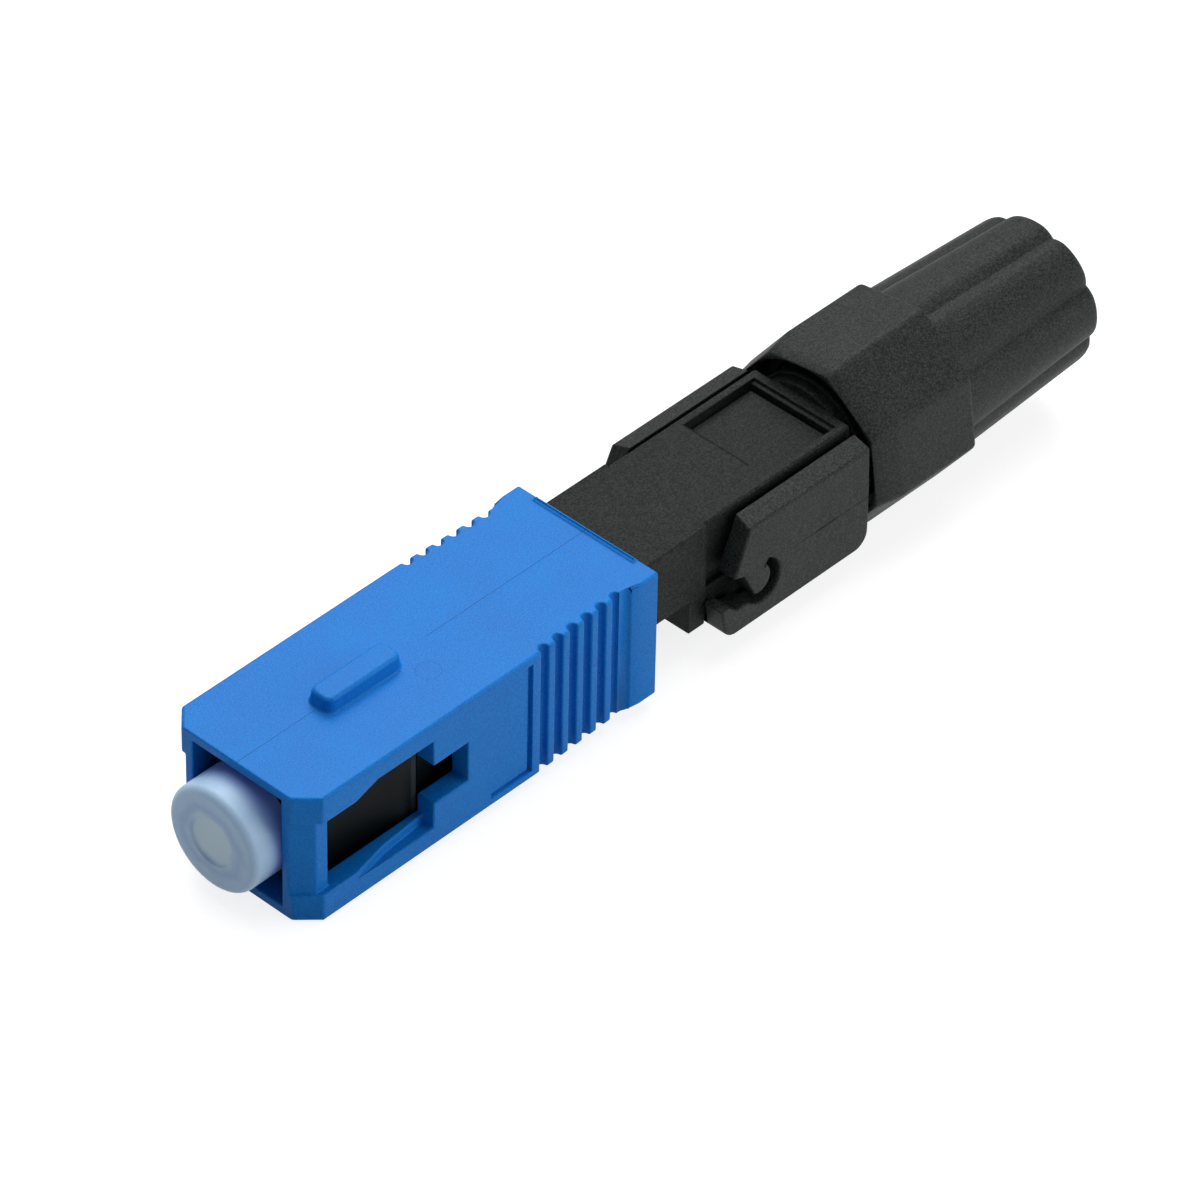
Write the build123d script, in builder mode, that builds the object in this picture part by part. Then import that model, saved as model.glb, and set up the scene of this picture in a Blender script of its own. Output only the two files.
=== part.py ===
"""Field-assembly SC fibre connector: push-pull plug, splice body and screw tail.

Millimetres. The origin is the centre of the ferrule's tip, +X runs to the cable end,
+Z is the key side, and the part is symmetric about the XZ plane apart from the clip and jaws.
"""
import os
from math import cos, pi, radians, sin, tan

from build123d import *

# Clearances between pieces
slide_gap = 0.07          # plastic sliding in plastic, each side
ferrule_gap = 0.02        # dust cap on the ferrule, radius
turn_gap = 0.05           # nut turning on the neck, radius
seat_gap = 0.02           # faces that rest on one another
drop_gap = 0.10           # parts laid loosely into a pocket
fibre_gap = 0.005         # film of gel between the glass and the splice

# Optical centre
ferrule_r = 1.25
ferrule_length = 10.5
ferrule_tip_chamfer = 0.35
fibre_r = 0.0625
fibre_bore_r = 0.064
fibre_bore_cone = 0.4
stub_end_x = 33.6

# Ferrule holder
holder_grip = 3.3
holder_sleeve_r = 1.7
holder_sleeve_length = 2.45
holder_flange_r = 2.3
holder_flange_t = 1.4
holder_tail_r = 1.3
holder_tail_gap = 0.5
holder_tail_bore_r = 0.35

# Ferrule spring
spring_wire_r = 0.2
spring_mid_r = 1.85
spring_turns = 6
spring_room = 4.95
ferrule_float = 0.5

# Outer sleeve
sleeve_front_x = 1.0
sleeve_length = 22.8
sleeve_width = 9.0
sleeve_height = 7.4
sleeve_side_wall = 1.1
sleeve_top_wall = 0.5
sleeve_corner = 1.0
sleeve_edge_r = 0.18
sleeve_travel = 1.8
mouth_width = 5.64
nose_recess_depth = 0.35
nose_recess_corner = 0.24
nose_recess_length = 3.0
window_half_z = 2.15
window_front = 1.65
window_end = 8.05
window_slot_end = 10.3
window_slot_half_z = 1.15
cam_half_z = 2.62
cam_start = 3.1
cam_knee = 5.2
cam_knee_depth = 0.45
cam_end_depth = 0.7
key_front = 5.1
key_length = 4.9
key_width = 1.6
key_height = 0.77
key_end_r = 0.55
key_taper = 9
panel_rear = 8.3          # this and the next lengths are measured from the sleeve's rear end
panel_length = 2.7
panel_half_z = 3.25
panel_depth = 0.12
panel_groove = 0.2
panel_groove_depth = 0.26
grip_start = 8.05
grip_waist = 2.2
grip_crest_drop = 0.2
grip_flange = 1.1
groove_last = 2.6
groove_pitch = 0.98
groove_count = 6
groove_r = 0.25
groove_depth = 0.38
waist_groove_r = 0.6
waist_groove_depth = 0.16
rear_lip = 0.35
rear_lip_height = 0.1
rear_lip_half_y = 3.2
stop_slot_depth = 0.25

# Dust cap
cap_head_r = 2.79
cap_front_x = -0.65
cap_head_gap = 0.15
cap_tip_wall = 0.55
cap_end_gap = 0.2
cap_edge_r = 0.4
cap_dimple_r = 1.35
cap_dimple_depth = 0.12
cap_bore_flare = 0.3

# Plug frame
frame_front_x = 2.0
frame_bore_r = 2.38
frame_seat_t = 0.9
frame_flat_end_x = 4.6
latch_crest_x = 8.2
latch_crest_length = 0.9
latch_dip = 0.16
latch_floor_y = 2.85
latch_floor_end_x = 12.5
latch_half_z = 2.75
frame_nose_chamfer = 0.35
stop_rib_x = 17.0
stop_rib_length = 1.2
stop_rib_half_y = 1.2
frame_side_gap = 0.1

# Main body
boss_length = 4.5
body_top_gap = 0.2
body_bottom_gap = 0.25
body_front_bottom_z = -1.0
body_step_x = 27.3
body_waist_x = 28.4
body_waist_cut = 0.25
body_end_x = 38.5
body_edge_r = 0.15
bridge_bore_r = 0.55
neck_r = 3.5
neck_hold = 0.6
neck_bore_r = 2.3
neck_chamfer = 0.3
chamber_front_x = 29.3
chamber_half_y = 1.6
chamber_half_z = 1.65
pocket_front_x = 33.1
pocket_end_x = 38.0
pocket_rim = 0.45
pocket_depth = 0.95
pocket_ledge = 0.25
pocket_ledge_depth = 0.2
cover_t = 0.45
cover_window_front_x = 33.9
cover_window_end_x = 37.2
cover_window_half_y = 0.8

# Splice
splice_front_x = 29.6
splice_end_x = 37.6
splice_half_y = 1.1
splice_base_z = -1.2
splice_lid_z = 1.05
splice_split_gap = 0.03
splice_chamfer = 0.15
clip_front_x = 31.0
clip_end_x = 36.6
clip_t = 0.2
clip_mouth = 1.1
groove_half_angle = 45

# Slide lock
lock_wing_t = 1.16
lock_floor_t = 0.32
lock_side_gap = 0.1
lock_top_drop = 0.25
lock_top_slope = 0.3
lock_side_break_z = -0.33
lock_draft = 0.1
lock_front_low_x = 29.06
lock_front_low_z = 0.03
lock_front_slope = 0.43
lock_rear_x = 38.45
lock_rear_r = 0.9
lock_nose_x = 30.75
lock_nose_z = -0.95
lock_nose_r = 0.82
lock_nose_from_deg = -108
lock_nose_to_deg = 55
lock_nose_root = 0.7
lock_slot_shift = 0.22
lock_slot_r = 1.24
lock_slot_from_deg = 68
lock_slot_to_deg = -104
lock_arm_z = -1.92
lock_arm_length = 0.7
lock_tip_x = 28.2
lock_tip_z = -1.45
lock_tip_length = 0.5
lock_toe_x = 28.6
lock_toe_r = 0.8
lock_travel = 2.2
lock_floor_gap = 0.08
rail_z = -0.65
rail_height = 0.6
rail_depth = 0.3
rail_front_x = 31.0
rail_end_x = 37.9

# Fibre guide
guide_front_x = 38.6
guide_end_x = 43.8
guide_bore_r = 0.25
guide_mouth_r = 1.6
guide_cone_length = 4.0

# Tail nut
nut_front_x = 38.8
collar_length = 6.87
collar_vertex_r = 5.18
collar_vertex_deg = 59
collar_taper_length = 1.6
collar_taper = 0.3
collar_shoulder = 0.47
nut_mouth_r = 4.45
nut_mouth_depth = 1.6
nut_thread_end_x = 45.6
nut_end_x = 55.65
lobe_count = 8
lobe_peak_front_r = 4.5
lobe_valley_front_r = 4.28
lobe_peak_end_r = 4.08
lobe_valley_end_r = 3.75
nut_end_edge = 0.3
nut_cone_front_r = 3.1
nut_cone_end_r = 2.55
nut_cone_end_x = 52.6
entry_r = 2.2
nut_travel = 4.0

# Clamp jaws
jaw_front_x = 45.1
jaw_end_x = 52.4
jaw_split = 0.3
jaw_channel_width = 3.2
jaw_channel_height = 2.0
jaw_tooth_pitch = 0.8
jaw_tooth_depth = 0.2
jaw_front_chamfer = 0.3

# Sizes that follow
sleeve_end_x = sleeve_front_x + sleeve_length
sleeve_half_y = sleeve_width / 2
sleeve_half_z = sleeve_height / 2
cavity_half_y = sleeve_half_y - sleeve_side_wall
cavity_half_z = sleeve_half_z - sleeve_top_wall
holder_front_x = ferrule_length - holder_grip
holder_flange_x = holder_front_x + holder_sleeve_length
holder_flange_end_x = holder_flange_x + holder_flange_t
boss_front_x = holder_flange_end_x + spring_room
holder_tail_end_x = boss_front_x - ferrule_float - holder_tail_gap
frame_seat_x = holder_flange_x - seat_gap
frame_end_x = boss_front_x + boss_length
frame_half_z = cavity_half_z - frame_side_gap
frame_nose_half_y = mouth_width / 2 - slide_gap
frame_crest_y = cavity_half_y - slide_gap
frame_rear_half_y = cavity_half_y - frame_side_gap
cap_head_end_x = frame_front_x - cap_head_gap
cap_end_x = holder_front_x - cap_end_gap
body_half_y = frame_rear_half_y
body_top_z = cavity_half_z - body_top_gap
body_bottom_z = body_bottom_gap - cavity_half_z
waist_half_y = body_half_y - body_waist_cut
pocket_half_y = waist_half_y - pocket_rim
pocket_floor_z = body_top_z - pocket_depth
neck_end_x = nut_front_x + nut_mouth_depth + nut_travel + neck_hold
lock_inner_y = body_half_y + lock_side_gap
lock_half_y = lock_inner_y + lock_wing_t
lock_floor_z = body_bottom_z - lock_floor_gap
lock_bottom_z = lock_floor_z - lock_floor_t
lock_inner_top_z = body_top_z - lock_top_drop
lock_top_z = lock_inner_top_z - lock_top_slope


def turned(points):
    """Fill the current part with a profile of (x, radius) points turned about the X axis."""
    with BuildSketch(Plane.XY) as half:
        with BuildLine():
            Polyline(*points, close=True)
        make_face()
    revolve(half.sketch, axis=Axis.X)


def box_between(low, high, mode=Mode.ADD):
    """A box from its low corner to its high corner."""
    size = [b - a for a, b in zip(low, high)]
    centre = [(a + b) / 2 for a, b in zip(low, high)]
    with Locations(tuple(centre)):
        Box(*size, mode=mode)


def on_circle(centre_x, centre_y, radius, degrees):
    """The point of a circle at an angle."""
    return centre_x + radius * cos(radians(degrees)), centre_y + radius * sin(radians(degrees))


def bore_x(radius, start, end):
    """A round hole along the X axis."""
    with BuildSketch(Plane.YZ.offset(start)) as section:
        Circle(radius)
    extrude(section.sketch, amount=end - start, mode=Mode.SUBTRACT)


def cone_x(start, end, start_r, end_r):
    """A conical hole along the X axis."""
    with BuildSketch(Plane.YZ.offset(start)) as near:
        Circle(start_r)
    with BuildSketch(Plane.YZ.offset(end)) as far:
        Circle(end_r)
    loft([near.sketch, far.sketch], mode=Mode.SUBTRACT)


# Ferrule: ground zirconia rod with a chamfered tip and the fibre hole on its axis
with BuildPart() as ferrule:
    turned([
        (0, 0),
        (0, ferrule_r - ferrule_tip_chamfer),
        (ferrule_tip_chamfer, ferrule_r),
        (ferrule_length, ferrule_r),
        (ferrule_length, 0),
    ])
    bore_x(fibre_bore_r, 0, ferrule_length)
    cone_x(ferrule_length - fibre_bore_cone, ferrule_length, fibre_bore_r, fibre_bore_cone)

# Fibre stub: bare glass from the polished tip to the middle of the splice
with BuildPart() as fibre_stub:
    with BuildSketch(Plane.YZ):
        Circle(fibre_r)
    extrude(amount=stub_end_x)

# Ferrule holder: turned collar pressed on the ferrule, seated in the plug frame
with BuildPart() as ferrule_holder:
    turned([
        (holder_front_x, 0),
        (holder_front_x, holder_sleeve_r),
        (holder_flange_x, holder_sleeve_r),
        (holder_flange_x, holder_flange_r),
        (holder_flange_end_x, holder_flange_r),
        (holder_flange_end_x, holder_tail_r),
        (holder_tail_end_x, holder_tail_r),
        (holder_tail_end_x, 0),
    ])
    bore_x(ferrule_r, holder_front_x, ferrule_length)
    bore_x(holder_tail_bore_r, ferrule_length, holder_tail_end_x)

# Ferrule spring: wire coil between the holder's flange and the body's boss
spring_start_x = holder_flange_end_x + spring_wire_r + seat_gap
spring_end_x = boss_front_x - spring_wire_r - seat_gap
spring_height = spring_end_x - spring_start_x
with BuildPart() as ferrule_spring:
    with BuildLine() as spring_path:
        Helix(spring_height / spring_turns, spring_height, spring_mid_r,
              center=(spring_start_x, 0, 0), direction=(1, 0, 0))
    with BuildSketch(Plane(spring_path.line @ 0, z_dir=spring_path.line % 0)):
        Circle(spring_wire_r)
    sweep(is_frenet=True)

# Dust cap: soft translucent moulding, a thick head and a sleeve over the ferrule
cap_stem_r = frame_bore_r - slide_gap
cap_bore_r = ferrule_r + ferrule_gap
with BuildPart() as dust_cap:
    turned([
        (cap_front_x, 0),
        (cap_front_x, cap_head_r),
        (cap_head_end_x, cap_head_r),
        (cap_head_end_x, cap_stem_r),
        (cap_end_x, cap_stem_r),
        (cap_end_x, 0),
    ])
    cap_rim = dust_cap.edges().filter_by(GeomType.CIRCLE).group_by(Axis.X)[0]
    fillet(cap_rim, cap_edge_r)
    with BuildSketch(Plane.YZ.offset(cap_front_x)):
        Circle(cap_dimple_r)
    extrude(amount=cap_dimple_depth, taper=30, mode=Mode.SUBTRACT)
    bore_x(cap_bore_r, cap_front_x + cap_tip_wall, cap_end_x)
    cone_x(cap_end_x - cap_bore_flare, cap_end_x, cap_bore_r, cap_bore_r + cap_bore_flare)

# Outer sleeve: the push-pull grip, one blue moulding with the key on top
crest_y = sleeve_half_y - grip_crest_drop
waist_x = sleeve_end_x - grip_waist
grip_start_x = sleeve_end_x - grip_start


def crest_at(x):
    """Half-width of the grip's crests at x, narrowing from the panel to the waist."""
    along = (x - grip_start_x) / (waist_x - grip_start_x)
    return sleeve_half_y - grip_crest_drop * along


with BuildPart() as outer_sleeve:
    with BuildSketch(Plane.XY.offset(-sleeve_half_z)):
        with BuildLine():
            Polyline(
                (sleeve_front_x, 0),
                (sleeve_front_x, sleeve_half_y - sleeve_corner),
                (sleeve_front_x + sleeve_corner, sleeve_half_y),
                (grip_start_x, sleeve_half_y),
                (waist_x, crest_y),
                (sleeve_end_x - grip_flange, sleeve_half_y),
                (sleeve_end_x, sleeve_half_y),
                (sleeve_end_x, 0),
                close=True,
            )
        make_face()
        mirror(about=Plane.XZ)
    extrude(amount=sleeve_height)
    long_edges = outer_sleeve.edges().filter_by(lambda e: abs((e % 0.5).Z) < 0.01)
    side_edges = long_edges.filter_by(lambda e: abs(e.center().Y) > 1)
    fillet(side_edges.filter_by(lambda e: sleeve_front_x + 0.1 < e.center().X < sleeve_end_x - 0.1),
           sleeve_edge_r)
    # Key: raised rib with round ends and a little draft
    with BuildSketch(Plane.XY.offset(sleeve_half_z)):
        with Locations((sleeve_front_x + key_front + key_length / 2, 0)):
            RectangleRounded(key_length, key_width, key_end_r)
    extrude(amount=key_height, taper=key_taper)
    # Raised lip along the top of the rear edge
    box_between((sleeve_end_x - rear_lip, -rear_lip_half_y, sleeve_half_z - sleeve_top_wall / 2),
                (sleeve_end_x, rear_lip_half_y, sleeve_half_z + rear_lip_height))
    # Cavity and the narrower mouth in front of it
    lip_end_x = sleeve_front_x + window_front
    box_between((lip_end_x, -cavity_half_y, -cavity_half_z),
                (sleeve_end_x, cavity_half_y, cavity_half_z), Mode.SUBTRACT)
    box_between((sleeve_front_x, -mouth_width / 2, -cavity_half_z),
                (lip_end_x, mouth_width / 2, cavity_half_z), Mode.SUBTRACT)
    # Slots in the roof and floor that the frame's stop ribs run in
    stop_start_x = stop_rib_x - sleeve_travel - drop_gap
    stop_end_x = stop_rib_x + stop_rib_length + seat_gap
    stop_half_y = stop_rib_half_y + drop_gap
    stop_z = cavity_half_z + stop_slot_depth
    box_between((stop_start_x, -stop_half_y, -stop_z), (stop_end_x, stop_half_y, stop_z), Mode.SUBTRACT)
    for side in (-1, 1):
        outside_y = side * (sleeve_half_y + 1)
        # Thinned nose beside the window, with its corner thinned as well
        nose_y = sleeve_half_y - nose_recess_depth
        nose_corner_y = sleeve_half_y - sleeve_corner - nose_recess_corner
        with BuildSketch(Plane.XY.offset(-window_half_z)):
            with BuildLine():
                Polyline(
                    (sleeve_front_x, side * nose_corner_y),
                    (sleeve_front_x + nose_y - nose_corner_y, side * nose_y),
                    (sleeve_front_x + nose_recess_length, side * nose_y),
                    (sleeve_front_x + nose_recess_length, outside_y),
                    (sleeve_front_x, outside_y),
                    close=True,
                )
            make_face()
        extrude(amount=2 * window_half_z, mode=Mode.SUBTRACT)
        # Window for the adapter's latch arm, and the narrow slot behind it
        inside_y = side * (cavity_half_y - 0.5)
        low_y, high_y = sorted((inside_y, outside_y))
        box_between((lip_end_x, low_y, -window_half_z),
                    (sleeve_front_x + window_end, high_y, window_half_z), Mode.SUBTRACT)
        box_between((lip_end_x, low_y, -window_slot_half_z),
                    (sleeve_front_x + window_slot_end, high_y, window_slot_half_z), Mode.SUBTRACT)
        # Cam pocket: above and below the window the outer face slopes inwards to the rear,
        # so that the sleeve lifts the adapter's latch arms as it is pulled back
        with BuildSketch(Plane.XY.offset(-cam_half_z)):
            with BuildLine():
                Polyline(
                    (sleeve_front_x + cam_start, side * sleeve_half_y),
                    (sleeve_front_x + cam_knee, side * (sleeve_half_y - cam_knee_depth)),
                    (sleeve_front_x + window_end, side * (sleeve_half_y - cam_end_depth)),
                    (sleeve_front_x + window_end, outside_y),
                    (sleeve_front_x + cam_start, outside_y),
                    close=True,
                )
            make_face()
        extrude(amount=2 * cam_half_z, mode=Mode.SUBTRACT)
        # Bare recessed panel, with a deeper groove at its rear and lower edges
        panel_end_x = sleeve_end_x - panel_rear
        panel_x = panel_end_x - panel_length
        low_y, high_y = sorted((side * (sleeve_half_y - panel_depth), outside_y))
        box_between((panel_x, low_y, -panel_half_z), (panel_end_x, high_y, panel_half_z), Mode.SUBTRACT)
        low_y, high_y = sorted((side * (sleeve_half_y - panel_groove_depth), outside_y))
        box_between((panel_end_x - panel_groove, low_y, -panel_half_z),
                    (panel_end_x, high_y, panel_half_z), Mode.SUBTRACT)
        box_between((panel_x, low_y, -panel_half_z),
                    (panel_end_x, high_y, panel_groove - panel_half_z), Mode.SUBTRACT)
        # Upright grip grooves and the shallow waist behind them
        with BuildSketch(Plane.XY.offset(-sleeve_height)):
            for n in range(groove_count):
                groove_x = sleeve_end_x - groove_last - n * groove_pitch
                groove_y = crest_at(groove_x) - groove_depth + groove_r
                with Locations((groove_x, side * groove_y)):
                    Circle(groove_r)
                with Locations((groove_x, side * (groove_y + 0.5))):
                    Rectangle(2 * groove_r, 1)
            with Locations((waist_x, side * (crest_y - waist_groove_depth + waist_groove_r))):
                Circle(waist_groove_r)
        extrude(amount=2 * sleeve_height, mode=Mode.SUBTRACT)

# Plug frame: black moulding around the ferrule with the two latch shoulders
latch_shoulder_x = latch_crest_x + latch_crest_length
with BuildPart() as plug_frame:
    with BuildSketch(Plane.XY.offset(-frame_half_z)):
        with BuildLine():
            Line((frame_front_x, 0), (frame_front_x, frame_nose_half_y))
            Line((frame_front_x, frame_nose_half_y), (frame_flat_end_x, frame_nose_half_y))
            ramp_mid_x = (frame_flat_end_x + latch_crest_x) / 2
            ramp_mid_y = (frame_nose_half_y + frame_crest_y) / 2 - latch_dip
            ThreePointArc((frame_flat_end_x, frame_nose_half_y), (ramp_mid_x, ramp_mid_y),
                          (latch_crest_x, frame_crest_y))
            Polyline(
                (latch_crest_x, frame_crest_y),
                (latch_shoulder_x, frame_crest_y),
                (latch_shoulder_x, frame_rear_half_y),
                (frame_end_x, frame_rear_half_y),
                (frame_end_x, 0),
                (frame_front_x, 0),
            )
        make_face()
        mirror(about=Plane.XZ)
    extrude(amount=2 * frame_half_z)
    nose_edges = plug_frame.faces().sort_by(Axis.X)[0].edges()
    chamfer(nose_edges, frame_nose_chamfer)
    # Recess behind each shoulder, where the adapter's latch hook drops in
    for side in (-1, 1):
        low_y, high_y = sorted((side * latch_floor_y, side * (cavity_half_y + 1)))
        box_between((latch_shoulder_x, low_y, -latch_half_z),
                    (latch_floor_end_x, high_y, latch_half_z), Mode.SUBTRACT)
    # Stop ribs above and below that limit the sleeve's travel
    rib_z = cavity_half_z + stop_slot_depth - slide_gap
    box_between((stop_rib_x, -stop_rib_half_y, -rib_z), (stop_rib_x + stop_rib_length, stop_rib_half_y, rib_z))
    # Front bore for the adapter's barrel, the holder's seat, and the spring chamber
    bore_x(frame_bore_r, frame_front_x, frame_seat_x - frame_seat_t)
    bore_x(holder_sleeve_r + slide_gap, frame_seat_x - frame_seat_t, frame_seat_x)
    bore_x(frame_bore_r, frame_seat_x, frame_end_x)

# Main body: black moulding that carries the splice, the lock's rails and the neck
with BuildPart() as main_body:
    box_between((frame_end_x, -body_half_y, body_front_bottom_z), (body_step_x, body_half_y, body_top_z))
    box_between((body_step_x, -body_half_y, body_bottom_z), (body_waist_x, body_half_y, body_top_z))
    box_between((body_waist_x, -waist_half_y, body_bottom_z), (body_end_x, waist_half_y, body_top_z))
    top_edges = main_body.edges().filter_by(Axis.X).group_by(Axis.Z)[-1]
    fillet(top_edges, body_edge_r)
    # Boss inside the plug frame, which the spring pushes against
    with BuildSketch(Plane.YZ.offset(boss_front_x)):
        Circle(frame_bore_r - slide_gap)
    extrude(amount=frame_end_x - boss_front_x)
    # Round neck that the tail nut screws on to
    with BuildSketch(Plane.YZ.offset(body_end_x)):
        Circle(neck_r)
    extrude(amount=neck_end_x - body_end_x)
    neck_rim = main_body.faces().sort_by(Axis.X)[-1].edges()
    chamfer(neck_rim, neck_chamfer)
    # Fibre passage, splice chamber and neck bore
    bore_x(bridge_bore_r, boss_front_x, chamber_front_x)
    box_between((chamber_front_x, -chamber_half_y, -chamber_half_z),
                (body_end_x, chamber_half_y, chamber_half_z), Mode.SUBTRACT)
    bore_x(neck_bore_r, body_end_x, neck_end_x)
    # Pocket for the press cover, a ledge at its rear, and the window over the splice
    box_between((pocket_front_x, -pocket_half_y, pocket_floor_z),
                (pocket_end_x - pocket_ledge, pocket_half_y, body_top_z), Mode.SUBTRACT)
    box_between((pocket_end_x - pocket_ledge, -pocket_half_y, body_top_z - pocket_ledge_depth),
                (pocket_end_x, pocket_half_y, body_top_z), Mode.SUBTRACT)
    box_between((cover_window_front_x, -cover_window_half_y, 0),
                (cover_window_end_x, cover_window_half_y, body_top_z), Mode.SUBTRACT)
    # Rails along both sides that hold the slide lock
    rail_half = rail_height / 2 + slide_gap
    rail_start_x = rail_front_x - lock_travel - drop_gap
    rail_stop_x = rail_end_x + seat_gap
    for side in (-1, 1):
        low_y, high_y = sorted((side * (waist_half_y - rail_depth), side * body_half_y))
        box_between((rail_start_x, low_y, rail_z - rail_half),
                    (rail_stop_x, high_y, rail_z + rail_half), Mode.SUBTRACT)

# Groove base: lower half of the splice, with a V groove for the fibre
groove_apex_z = -(fibre_r + fibre_gap) / sin(radians(groove_half_angle))
groove_half_y = (splice_split_gap - groove_apex_z) * tan(radians(groove_half_angle))
with BuildPart() as groove_base:
    with BuildSketch(Plane.YZ.offset(splice_front_x)):
        with BuildLine():
            Polyline(
                (-splice_half_y, splice_base_z),
                (splice_half_y, splice_base_z),
                (splice_half_y, splice_split_gap),
                (groove_half_y, splice_split_gap),
                (0, groove_apex_z),
                (-groove_half_y, splice_split_gap),
                (-splice_half_y, splice_split_gap),
                close=True,
            )
        make_face()
    extrude(amount=splice_end_x - splice_front_x)
    chamfer(groove_base.edges().filter_by(Axis.X).group_by(Axis.Z)[0], splice_chamfer)

# Groove lid: flat cover pressed down on the fibre
with BuildPart() as groove_lid:
    box_between((splice_front_x, -splice_half_y, fibre_r + fibre_gap),
                (splice_end_x, splice_half_y, splice_lid_z))
    chamfer(groove_lid.edges().filter_by(Axis.X).group_by(Axis.Z)[-1], splice_chamfer)

# Splice clip: sprung steel strip folded round the base and lid, open on one side
clip_in_y = splice_half_y + seat_gap
clip_in_low = splice_base_z - seat_gap
clip_in_high = splice_lid_z + seat_gap
with BuildPart() as splice_clip:
    with BuildSketch(Plane.YZ.offset(clip_front_x)):
        with BuildLine():
            Polyline(
                (clip_in_y - clip_mouth, clip_in_high),
                (-clip_in_y, clip_in_high),
                (-clip_in_y, clip_in_low),
                (clip_in_y - clip_mouth, clip_in_low),
                (clip_in_y - clip_mouth, clip_in_low - clip_t),
                (-clip_in_y - clip_t, clip_in_low - clip_t),
                (-clip_in_y - clip_t, clip_in_high + clip_t),
                (clip_in_y - clip_mouth, clip_in_high + clip_t),
                close=True,
            )
        make_face()
    extrude(amount=clip_end_x - clip_front_x)

# Press cover: plate that closes the pocket and bears on the clip through the window
cover_top_z = pocket_floor_z + cover_t
with BuildPart() as press_cover:
    box_between((pocket_front_x + drop_gap, -pocket_half_y + drop_gap, pocket_floor_z),
                (pocket_end_x - pocket_ledge - drop_gap, pocket_half_y - drop_gap, cover_top_z))
    box_between((cover_window_front_x + drop_gap, -cover_window_half_y + drop_gap, clip_in_high + clip_t),
                (cover_window_end_x - drop_gap, cover_window_half_y - drop_gap, pocket_floor_z))

# Slide lock: U-shaped moulding pushed forward from below to lock the splice
with BuildPart() as slide_lock:
    with BuildSketch(Plane.YZ.offset(lock_tip_x)):
        with BuildLine():
            Polyline(
                (0, lock_bottom_z),
                (lock_half_y, lock_bottom_z),
                (lock_half_y, lock_side_break_z),
                (lock_half_y - lock_draft, lock_top_z),
                (lock_inner_y, lock_inner_top_z),
                (lock_inner_y, lock_floor_z),
                (0, lock_floor_z),
                close=True,
            )
        make_face()
        mirror(about=Plane.YZ)
    extrude(amount=lock_rear_x - lock_tip_x)
    # Side outline: slanted front, nose hanging in a C-shaped slot, lower arm, toe and heel
    with BuildSketch(Plane.XZ.offset(-lock_half_y - 1)) as lock_outline:
        with BuildLine():
            slot_x = lock_nose_x + lock_slot_shift
            slot_z = lock_nose_z - lock_slot_shift
            nose_from = on_circle(lock_nose_x, lock_nose_z, lock_nose_r, lock_nose_from_deg)
            nose_to = on_circle(lock_nose_x, lock_nose_z, lock_nose_r, lock_nose_to_deg)
            nose_mid = on_circle(lock_nose_x, lock_nose_z, lock_nose_r,
                                 (lock_nose_from_deg + lock_nose_to_deg) / 2)
            slot_from = on_circle(slot_x, slot_z, lock_slot_r, lock_slot_from_deg)
            slot_to = on_circle(slot_x, slot_z, lock_slot_r, lock_slot_to_deg)
            slot_mid = on_circle(slot_x, slot_z, lock_slot_r,
                                 (lock_slot_from_deg + lock_slot_to_deg) / 2)
            front_top_x = lock_front_low_x + lock_front_slope * (lock_inner_top_z - lock_front_low_z)
            arm_x = slot_to[0] - lock_arm_length
            ThreePointArc(nose_from, nose_mid, nose_to)
            Line(nose_to, slot_from)
            ThreePointArc(slot_from, slot_mid, slot_to)
            Polyline(
                slot_to,
                (arm_x, lock_arm_z),
                (arm_x - lock_arm_length, lock_arm_z),
                (lock_tip_x + lock_tip_length, lock_tip_z),
                (lock_tip_x, lock_tip_z),
                (lock_toe_x, lock_bottom_z),
                (lock_rear_x, lock_bottom_z),
                (lock_rear_x, lock_inner_top_z),
                (front_top_x, lock_inner_top_z),
                (lock_front_low_x, lock_front_low_z),
                (lock_front_low_x + lock_nose_root, lock_front_low_z - lock_nose_root / 3),
                nose_from,
            )
        make_face()
        lowest = lock_outline.vertices().group_by(Axis.Y)[0].sort_by(Axis.X)
        fillet(lowest[0], lock_toe_r)
        lowest = lock_outline.vertices().group_by(Axis.Y)[0].sort_by(Axis.X)
        fillet(lowest[-1], lock_rear_r)
    extrude(amount=2 * (lock_half_y + 1), mode=Mode.INTERSECT)
    # Rails inside the wings
    for side in (-1, 1):
        low_y, high_y = sorted((side * (waist_half_y - rail_depth + slide_gap), side * lock_inner_y))
        box_between((rail_front_x, low_y, rail_z - rail_height / 2),
                    (rail_end_x, high_y, rail_z + rail_height / 2))

# Fibre guide: funnel that leads the bare fibre from the cable into the groove
with BuildPart() as fibre_guide:
    guide_r = neck_bore_r - slide_gap
    turned([
        (guide_front_x, 0),
        (guide_front_x, guide_r),
        (guide_end_x, guide_r),
        (guide_end_x, 0),
    ])
    bore_x(guide_bore_r, guide_front_x, guide_end_x)
    cone_x(guide_end_x - guide_cone_length, guide_end_x, guide_bore_r, guide_mouth_r)


def lobe_sketch(peak_r, valley_r):
    """Closed ring of convex lobes whose valleys line up with the collar's corners."""
    step = 2 * pi / lobe_count
    start = radians(collar_vertex_deg)
    with BuildLine() as ring:
        for n in range(lobe_count):
            a = start + n * step
            corners = [(radius * cos(angle), radius * sin(angle)) for radius, angle in
                       ((valley_r, a), (peak_r, a + step / 2), (valley_r, a + step))]
            ThreePointArc(*corners)
    make_face(ring.edges())


def collar_sketch(inset=0):
    """Octagon of the collar, with its corners at the collar's vertex angle."""
    RegularPolygon(collar_vertex_r - inset, 8, rotation=collar_vertex_deg)


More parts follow.
